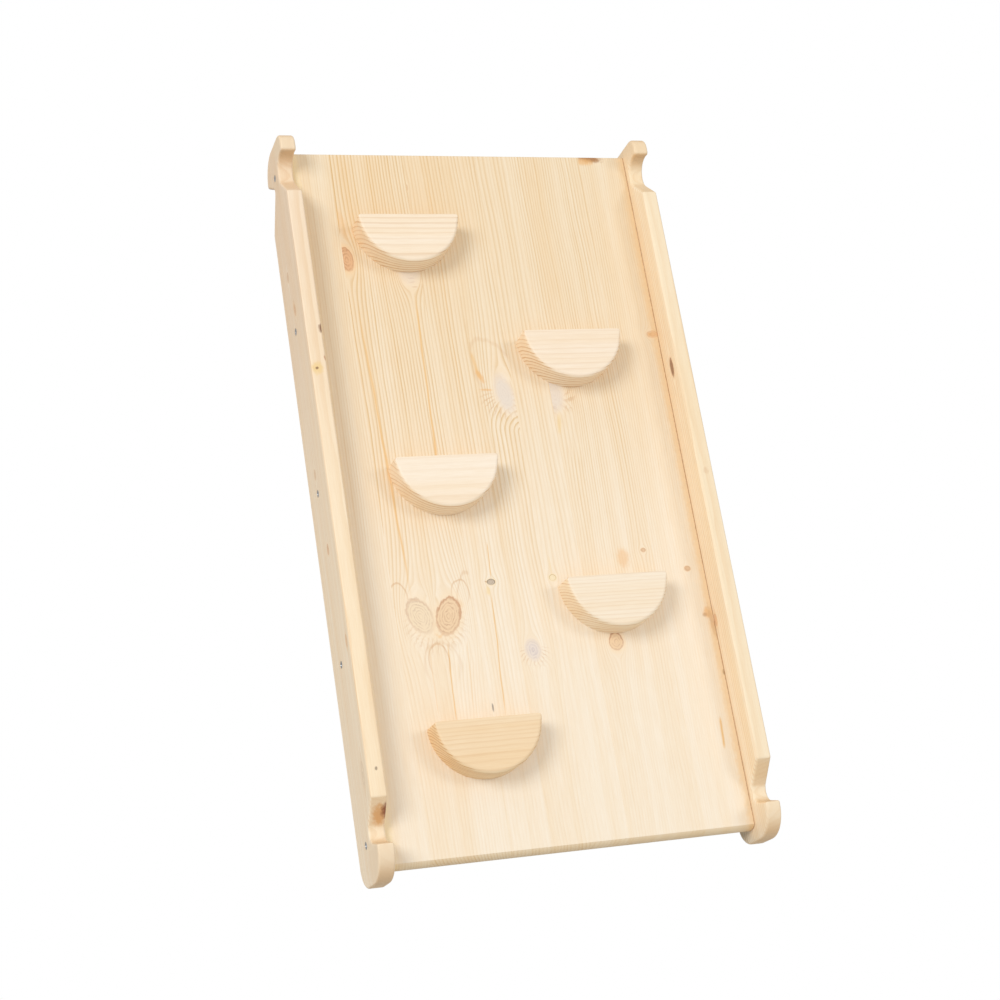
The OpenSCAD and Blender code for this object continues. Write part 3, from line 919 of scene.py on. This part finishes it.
# Steps: ring spacing, pith above the lowest point, pith below the face, line strength on the face and round
# the edge, early colour
STEP_WOOD = {
    1: (4.8, -8, 44, 0.3, 0.75, srgb(251, 237, 217)),
    2: (4.2, -18, 46, 0.15, 0.85, srgb(251, 236, 216)),
    3: (5.2, -4, 54, 0.09, 0.7, srgb(252, 239, 221)),
    4: (3.4, -36, 46, 0.18, 0.75, srgb(250, 237, 217)),
    5: (3.6, -10, 48, 0.2, 1.0, srgb(245, 222, 188)),
}


def step_material(number):
    """The steps' grain runs across the ramp."""
    low, high, _ = size_of(f"step_{number}")
    ring, up, deep, line, edge_line, early = STEP_WOOD[number]
    board = dict(axes="YXZ", pith=(low.y / MM + up, high.z / MM - deep), ring=ring, sway=3.0, uneven=1.0,
                 sharp=0.5, early=early, late=STEP_LATE, warm=WARM,
                 line=line, edge_line=edge_line, end_line=0.8,
                 edge_tint=srgb(255, 255, 251), end_tints=(srgb(248, 240, 232), srgb(255, 250, 244)))
    return pine(f"step_pine_{number}", board, 60 + 3.1 * number)


# ---- Studio -----------------------------------------------------------------------------------

FLOOR_HALF, FLOOR_DROP = 30.0, 0.0005       # metres; the floor lies just under the ramp
PAPER = (0.52, 0.52, 0.52, 1)
WORLD_COLOUR, WORLD_STRENGTH = (1.0, 0.995, 0.985, 1), 0.66
# Lamps: place, diameter, power
LAMPS = {
    "key": ((-4.6, 1.4, 4.9), 3.1, 190),
    "second": ((4.0, 0.6, 5.7), 2.2, 62),
}
# Camera: place, direction of view and up direction in the frame, in metres; lens and sensor in millimetres
CAMERA_PLACE = (-0.7548, -0.7002, 2.0001)
CAMERA_AIM = (0.33354, 0.31054, -0.89012)
CAMERA_UP = (0.04664, 0.93760, 0.34458)
LENS, SENSOR = 71.49, 36


def make_floor():
    """White paper that looks white to the camera, and so large that its edge is never in view."""
    bm = bmesh.new()
    bmesh.ops.create_grid(bm, x_segments=8, y_segments=8, size=FLOOR_HALF)
    floor = mesh_object("floor", bm)
    floor.location = (0, 0, -FLOOR_DROP)
    material, g = new_material("pale_floor")
    paper = g.add("ShaderNodeBsdfDiffuse", {"Color": PAPER}).outputs[0]
    glow = g.add("ShaderNodeEmission", {"Color": (1, 1, 1, 1), "Strength": 1.0}).outputs[0]
    seen = g.add("ShaderNodeLightPath").outputs["Is Camera Ray"]
    surface = g.add("ShaderNodeMixShader", {0: seen, 1: paper, 2: glow}).outputs[0]
    g.add("ShaderNodeOutputMaterial", {"Surface": surface})
    floor.data.materials.append(material)


def area_light(name, place, size, power):
    """A round lamp that shines at the middle of the ramp."""
    light = bpy.data.lights.new(name, "AREA")
    light.shape = "DISK"
    light.size = size
    light.energy = power
    lamp = bpy.data.objects.new(name, light)
    lamp.location = place
    lamp.rotation_euler = (-Vector(place)).to_track_quat("-Z", "Y").to_euler()
    bpy.context.scene.collection.objects.link(lamp)


def light_studio():
    """Pale surroundings and two large lamps."""
    world = bpy.data.worlds.new("studio")
    world.use_nodes = True
    background = world.node_tree.nodes["Background"]
    background.inputs["Color"].default_value = WORLD_COLOUR
    background.inputs["Strength"].default_value = WORLD_STRENGTH
    bpy.context.scene.world = world
    for name, (place, size, power) in LAMPS.items():
        area_light(name, place, size, power)
    bpy.context.scene.view_settings.view_transform = "Standard"


def place_camera():
    """The camera, turned so that its up direction is as near CAMERA_UP as its aim allows."""
    data = bpy.data.cameras.new("camera")
    data.lens = LENS
    data.sensor_width = SENSOR
    camera = bpy.data.objects.new("camera", data)
    back = -Vector(CAMERA_AIM).normalized()
    right = Vector(CAMERA_UP).cross(back).normalized()
    up = back.cross(right)
    turn = Matrix((right, up, back)).transposed()
    camera.matrix_world = Matrix.Translation(CAMERA_PLACE) @ turn.to_4x4()
    bpy.context.scene.collection.objects.link(camera)
    bpy.context.scene.camera = camera


# ---- Everything ---------------------------------------------------------------------------------

make_floor()
light_studio()
place_camera()

for rail_node, rail_side in (("left_rail", -1), ("right_rail", 1)):
    make_rail(rail_node, rail_side, rail_material(rail_side))
for stave_number in STAVES:
    make_stave(stave_number, deck_material(stave_number))
for step_number in STEPS:
    make_step(step_number, step_material(step_number))

zinc = steel()
for screw_side, screw_node in ((-1, "left_rail_screws"), (1, "right_rail_screws")):
    make_screws(screw_node, rail_screw_spots(screw_side, RAIL_SCREW_LIFT * MM), out_of_rail(screw_side),
                size_of(screw_node)[2].x, zinc)
for step_number in STEPS:
    screw_node = f"step_{step_number}_screws"
    make_screws(screw_node, step_screw_spots(step_number), OUT_OF_BACK, size_of(screw_node)[2].z, zinc)

bpy.context.view_layer.update()
